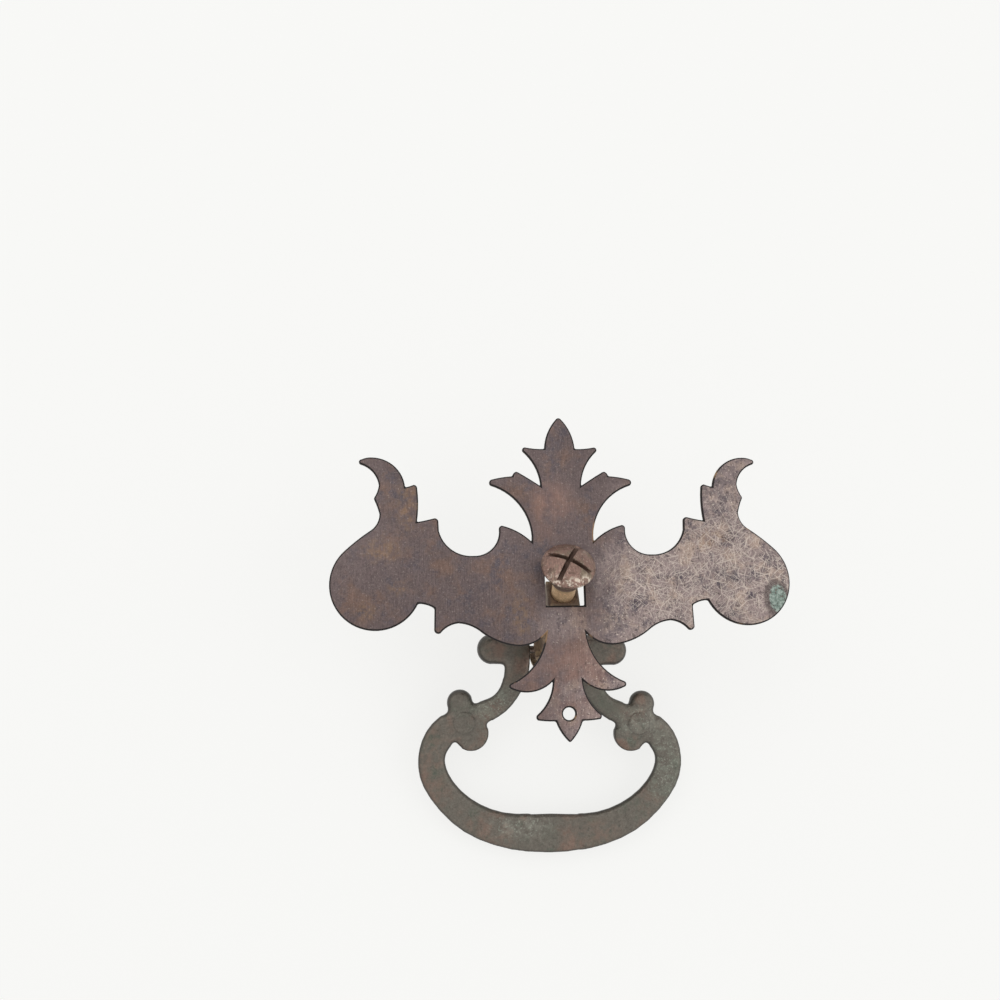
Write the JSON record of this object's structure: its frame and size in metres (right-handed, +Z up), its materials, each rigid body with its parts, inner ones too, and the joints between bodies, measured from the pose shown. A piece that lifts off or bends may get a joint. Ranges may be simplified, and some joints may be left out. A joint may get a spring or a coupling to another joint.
{
  "type": "bail pull",
  "caption": "Old brass drawer pull: a scrolled sheet back plate with a square post, a slotted screw from behind and a cast half-round bail that swings from the post's waist.",
  "frame": {"origin": "middle of the square post hole, in the plate's back face", "axes": "+Z up towards the plate's crest, +X to the right as seen from the drawer's front, +Y out of the plate's back, into the drawer"},
  "size_m": [0.1, 0.0406, 0.0953],
  "materials": {
    "plate_brass": "brown patina, finely brushed",
    "post_brass": "worn golden brass",
    "screw_brass": "worn copper-brown",
    "bail_brass": "dark patina, smooth casting"
  },
  "bodies": {
    "plate_body": {"backplate": "plate_brass"},
    "post_body": {"post": "post_brass", "back_screw": "screw_brass"},
    "bail_body": {"bail": "bail_brass"}
  },
  "joints": [
    {"name": "post_rock", "type": "hinge", "parent": "plate_body", "child": "post_body", "pos_m": [0, -0.0005, 0], "axis": [-1, 0, 0], "range_deg": [0, 29]},
    {"name": "bail_swing", "type": "hinge", "parent": "post_body", "child": "bail_body", "pos_m": [0, -0.02215, -0.012], "axis": [-1, 0, 0], "range_deg": [-38.3, 110.7]}
  ]
}
